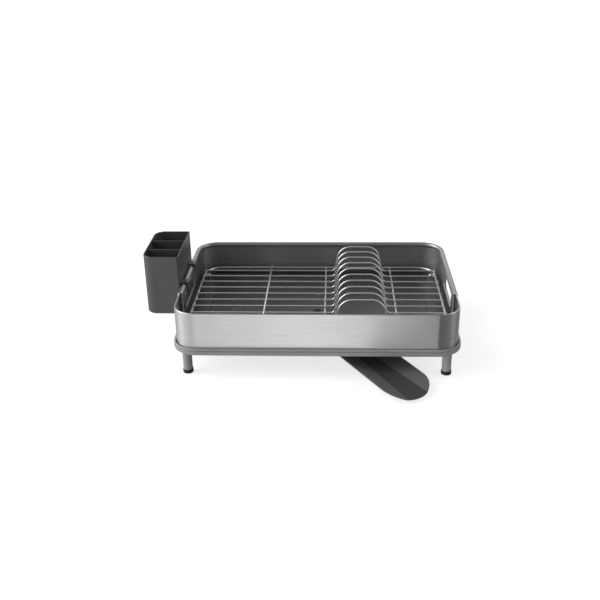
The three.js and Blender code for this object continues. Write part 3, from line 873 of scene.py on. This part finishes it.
def rack_leg_path(lo, hi, sx):
    """A leg's place is found from its box: it leaves the frame wire level and turns down."""
    y = (lo.y + hi.y) / 2
    x = (lo.x if sx > 0 else hi.x) + sx * CROSS_WIRE_RADIUS
    edge = sx * (RACK_HALF_X - FRAME_WIRE_RADIUS)
    return rounded_path([
        ((edge, y, FRAME_WIRE_Z), 0), ((x, y, FRAME_WIRE_Z), RACK_LEG_RADIUS), ((x, y, lo.z), 0),
    ], 8)


def add_wires():
    kind = {"body": "wire_rack", "slot": "bright_wire", "material": WIRE}
    frame_wire = wire(frame_wire_path(), FRAME_WIRE_RADIUS, (0, 0, 1))
    make_piece("bent_frame_wire", frame_wire, nodes=["rack_frame_wire"], **kind)
    for number, node in enumerate(PLATE_WIRES, 1):
        lo, hi = local(node)
        arched = wire(plate_wire_path((lo.y + hi.y) / 2), WIRE_RADIUS, (0, 1, 0))
        make_piece(f"arched_wire_{number:02d}", arched, nodes=[node], **kind)
    for number in (1, 2, 3):
        node = f"cross_wire_{number}"
        tie = wire(cross_wire_path(node), CROSS_WIRE_RADIUS, (1, 0, 0))
        make_piece(f"tie_wire_{number}", tie, nodes=[node], **kind)
    for end in ("front", "back"):
        for side, sx in (("left", -1), ("right", 1)):
            node = f"rack_leg_{end}_{side}"
            leg = wire(rack_leg_path(*local(node), sx), CROSS_WIRE_RADIUS, (0, 1, 0))
            make_piece(f"wire_foot_{end}_{side}", leg, nodes=[node], **kind)


# Each weld's half sizes along X, Y and Z.
PLATE_END_WELD = (2.6, 2.3, 2.4)
CROSSING_WELD = (2.3, 2.1, 2.2)
TIE_END_WELD = (2.4, 2.2, 2.0)
LEG_WELD = (1.6, 2.5, 2.1)
BUTT_WELD = (1.4, 2.25, 2.25)


def weld(bm, x, y, z, size):
    place = Matrix.Translation((x, y, z)) @ Matrix.Diagonal((*size, 1))
    bmesh.ops.create_icosphere(bm, subdivisions=3, radius=1, matrix=place)


def add_welds():
    """A small bead at every place where two wires cross or end on each other."""
    bm = bmesh.new()
    between = (PLATE_Z + FRAME_WIRE_Z) / 2
    rows = [(local(n)[0].y + local(n)[1].y) / 2 for n in PLATE_WIRES]
    ties = [local(f"cross_wire_{n}") for n in (1, 2, 3)]
    for y in rows:
        for sx in (-1, 1):
            weld(bm, sx * RACK_HALF_X, y, between, PLATE_END_WELD)
        for lo, hi in ties:
            tie_z = (lo.z + hi.z) / 2 if hi.z < PLATE_Z else hi.z - CROSS_WIRE_RADIUS
            weld(bm, (lo.x + hi.x) / 2, y, (tie_z + PLATE_Z) / 2, CROSSING_WELD)
    for lo, hi in ties:
        for sy in (-1, 1):
            z = FRAME_WIRE_Z + (1.8 if hi.z > PLATE_Z else 0.3)
            weld(bm, (lo.x + hi.x) / 2, sy * (RACK_HALF_Y - 1.6), z, TIE_END_WELD)
    for end in ("front", "back"):
        for side, sx in (("left", -1), ("right", 1)):
            lo, hi = local(f"rack_leg_{end}_{side}")
            weld(bm, sx * (RACK_HALF_X - 2.1), (lo.y + hi.y) / 2, FRAME_WIRE_Z, LEG_WELD)
    weld(bm, 0, -RACK_HALF_Y, FRAME_WIRE_Z, BUTT_WELD)
    make_piece("weld_beads", bm, "wire_rack", "bright_wire", WELD)


# ---- cutlery holder ----
HOLDER_X = (-315, -249)
HOLDER_Y = (-50, 86)
HOLDER_WALL = 2
HOLDER_RADII = (20, 3, 3, 20)
HOLDER_FLOOR = 3
DIVIDER_DROP = 2.5
DIVIDER_BITE = 0.7
HOOK_YS = (-36, 50)
HOOK_HALF_WIDTH = 7
HOOK_SHEET = 3
HOOK_BEND = 2.2
HOOK_FOOT = 107


def holder_loop(inset, z):
    half_x = (HOLDER_X[1] - HOLDER_X[0]) / 2 - inset
    half_y = (HOLDER_Y[1] - HOLDER_Y[0]) / 2 - inset
    radii = [max(r - inset, 1.2) for r in HOLDER_RADII]
    return rounded_loop(half_x, half_y, radii, z, (sum(HOLDER_X) / 2, sum(HOLDER_Y) / 2))


def holder_shell(bottom, top):
    """A loft that runs up the outside, over the rounded rim and down to the floor inside."""
    rim = HOLDER_WALL / 2 - 0.01
    floor = bottom + HOLDER_FLOOR
    outline = rounded_outline([
        (8, bottom + 0.8, 0), (6, bottom, 0.6), (0, bottom, 3.0), (0, top, rim),
        (HOLDER_WALL, top, rim), (HOLDER_WALL, floor, 2.0), (8, floor, 0),
    ], 6)
    return skinned([holder_loop(p.x, p.y) for p in outline])


def divider(y, bottom, top):
    half = HOLDER_WALL / 2
    rim = half - 0.01
    outline = rounded_outline([
        (y - half, bottom, 0), (y + half, bottom, 0), (y + half, top, rim), (y - half, top, rim),
    ], 6)
    ends = (HOLDER_X[0] + DIVIDER_BITE, HOLDER_X[1] - DIVIDER_BITE)
    return skinned([[Vector((x, p.x, p.y)) for p in outline] for x in ends])


def hook(y):
    """A strap bent over the fence's rolled edge."""
    half = HOOK_SHEET / 2
    top = FENCE_TOP + FIT_GAP + half
    inside = 2 * BEAD_RADIUS - BEAD_PROUD + FIT_GAP + half - FENCE_HALF_X
    path = rounded_path([
        ((HOLDER_X[1] - 1, y, top), 0),
        ((inside, y, top), HOOK_BEND),
        ((inside, y, HOOK_FOOT), 0),
    ], 8)
    section = rounded_outline([
        (-half, -HOOK_HALF_WIDTH, 0.8), (half, -HOOK_HALF_WIDTH, 0.8),
        (half, HOOK_HALF_WIDTH, 0.8), (-half, HOOK_HALF_WIDTH, 0.8),
    ], 4)
    return along_path(path, section, (0, 1, 0))


def add_holder():
    lo, hi = local("cutlery_holder")
    holder = holder_shell(lo.z, hi.z)
    pitch = (HOLDER_Y[1] - HOLDER_Y[0]) / 3
    for k in (1, 2):
        y = HOLDER_Y[0] + k * pitch
        holder = combined(holder, divider(y, lo.z + 1.5, hi.z - DIVIDER_DROP), "UNION")
    for y in HOOK_YS:
        holder = combined(holder, hook(y), "UNION")
    make_piece("cutlery_moulding", holder, "holder", "dark_plastic", HOLDER_GREY, ["cutlery_holder"])


# ---- stage, light and camera ----
FLOOR_HALF = 24
FLOOR_GREY, FLOOR_GLOW = 0.58, 0.72


def add_floor():
    """A white floor that takes the part's shadow and fades into the backdrop."""
    half = FLOOR_HALF
    mesh = bpy.data.meshes.new("studio_floor")
    corners = [(-half, -half, 0), (half, -half, 0), (half, half, 0), (-half, half, 0)]
    mesh.from_pydata(corners, [], [(0, 1, 2, 3)])
    material, tree, shader = new_material("studio_floor", 0.9, 0.0)
    shader.inputs["Base Color"].default_value = (FLOOR_GREY, FLOOR_GREY, FLOOR_GREY, 1)
    shader.inputs["Specular IOR Level"].default_value = 0.0
    shader.inputs["Emission Color"].default_value = (1, 1, 1, 1)
    shader.inputs["Emission Strength"].default_value = FLOOR_GLOW
    mesh.materials.append(material)
    floor = bpy.data.objects.new("studio_floor", mesh)
    floor.visible_glossy = False
    floor.visible_diffuse = False
    bpy.context.scene.collection.objects.link(floor)


# The studio's brightness by bearing in degrees, where 0 is the front and 90 the right:
# what lies below the horizon, the softboxes and the white backdrop above it, and the ceiling.
LOW_RING = (
    (-180, 0.60), (-150, 0.50), (-110, 0.55), (-60, 0.62), (-15, 0.88), (0, 1.52), (2, 1.46),
    (8.5, 0.16), (14, 0.15), (50, 0.16), (80, 0.15), (110, 0.16), (150, 0.30), (180, 0.60),
)
HIGH_RING = (
    (-180, 0.75), (-150, 0.75), (-118, 1.4), (-90, 4.6), (-62, 1.8), (-30, 0.3), (0, 0.15),
    (30, 0.15), (64, 0.3), (88, 1.7), (112, 0.4), (150, 0.75), (180, 0.75),
)
CEILING = 0.2
BRIGHTEST = 5.0
HORIZON_START, HORIZON_END = -8, 12
CEILING_START, CEILING_END = 45, 68


def arithmetic(tree, operation, *values):
    node = tree.nodes.new("ShaderNodeMath")
    node.operation = operation
    for socket, value in zip(node.inputs, values):
        if isinstance(value, (int, float)):
            socket.default_value = value
        else:
            tree.links.new(value, socket)
    return node.outputs["Value"]


def ring(tree, bearing, stops):
    """A brightness that follows (bearing, brightness) stops, eased from one to the next."""
    turn = ranged(tree, bearing, 0, 1, -math.pi, math.pi)
    ramp = tree.nodes.new("ShaderNodeValToRGB")
    ramp.color_ramp.interpolation = "EASE"
    elements = ramp.color_ramp.elements
    while len(elements) < len(stops):
        elements.new(0.5)
    for element, (degrees, level) in zip(elements, stops):
        element.position = 0.5 + degrees / 360
        element.color = (*[level / BRIGHTEST] * 3, 1)
    tree.links.new(turn, ramp.inputs["Fac"])
    return arithmetic(tree, "MULTIPLY", ramp.outputs["Color"], BRIGHTEST)


def blended(tree, elevation, start, end, below, above):
    """One brightness below a height in degrees, another above it, and a soft change between."""
    share = tree.nodes.new("ShaderNodeMapRange")
    share.interpolation_type = "SMOOTHSTEP"
    share.inputs["From Min"].default_value = math.radians(start)
    share.inputs["From Max"].default_value = math.radians(end)
    tree.links.new(elevation, share.inputs["Value"])
    rise = arithmetic(tree, "SUBTRACT", above, below)
    return arithmetic(tree, "MULTIPLY_ADD", rise, share.outputs["Result"], below)


def add_light():
    """A soft studio: bright in front and at the sides, dim to the lower right and overhead."""
    world = bpy.data.worlds.new("studio")
    bpy.context.scene.world = world
    world.use_nodes = True
    tree = world.node_tree
    tree.nodes.clear()
    direction = tree.nodes.new("ShaderNodeSeparateXYZ")
    tree.links.new(tree.nodes.new("ShaderNodeTexCoord").outputs["Generated"], direction.inputs["Vector"])
    x, y, z = (direction.outputs[axis] for axis in "XYZ")
    bearing = arithmetic(tree, "ARCTAN2", x, arithmetic(tree, "MULTIPLY", y, -1.0))
    elevation = arithmetic(tree, "ARCSINE", z)
    low, high = (ring(tree, bearing, stops) for stops in (LOW_RING, HIGH_RING))
    radiance = blended(tree, elevation, HORIZON_START, HORIZON_END, low, high)
    radiance = blended(tree, elevation, CEILING_START, CEILING_END, radiance, CEILING)
    lit = tree.nodes.new("ShaderNodeBackground")
    lit.inputs["Color"].default_value = (1, 1, 1, 1)
    tree.links.new(radiance, lit.inputs["Strength"])
    plain = tree.nodes.new("ShaderNodeBackground")
    plain.inputs["Color"].default_value = (1, 1, 1, 1)
    seen = tree.nodes.new("ShaderNodeLightPath")
    mix = tree.nodes.new("ShaderNodeMixShader")
    output = tree.nodes.new("ShaderNodeOutputWorld")
    tree.links.new(seen.outputs["Is Camera Ray"], mix.inputs["Fac"])
    tree.links.new(lit.outputs["Background"], mix.inputs[1])
    tree.links.new(plain.outputs["Background"], mix.inputs[2])
    tree.links.new(mix.outputs["Shader"], output.inputs["Surface"])


# The camera looks at the part from the front, a little above, almost level.
CAMERA_LENS, CAMERA_SENSOR = 49.82, 36
CAMERA_YAW, CAMERA_PITCH, CAMERA_ROLL = (math.radians(v) for v in (2.69, 24.78, -0.92))
CAMERA_OFFSET = Vector((0.03275, -1.4178, 0.7241))


def add_camera():
    data = bpy.data.cameras.new("camera")
    data.lens = CAMERA_LENS
    data.sensor_width = CAMERA_SENSOR
    camera = bpy.data.objects.new("camera", data)
    level = Matrix.Rotation(CAMERA_YAW, 4, "Z")
    turn = level @ Matrix.Rotation(math.pi / 2 - CAMERA_PITCH, 4, "X")
    place = Matrix.Translation(CENTRE + CAMERA_OFFSET)
    camera.matrix_world = place @ turn @ Matrix.Rotation(CAMERA_ROLL, 4, "Z")
    bpy.context.scene.collection.objects.link(camera)
    bpy.context.scene.camera = camera


add_camera()
add_floor()
add_light()
bpy.context.scene.view_settings.view_transform = "Standard"

add_base()
add_legs()
add_front_panel()
add_rear_panel()
add_tray()
add_clip()
add_spout()
add_wires()
add_welds()
add_holder()
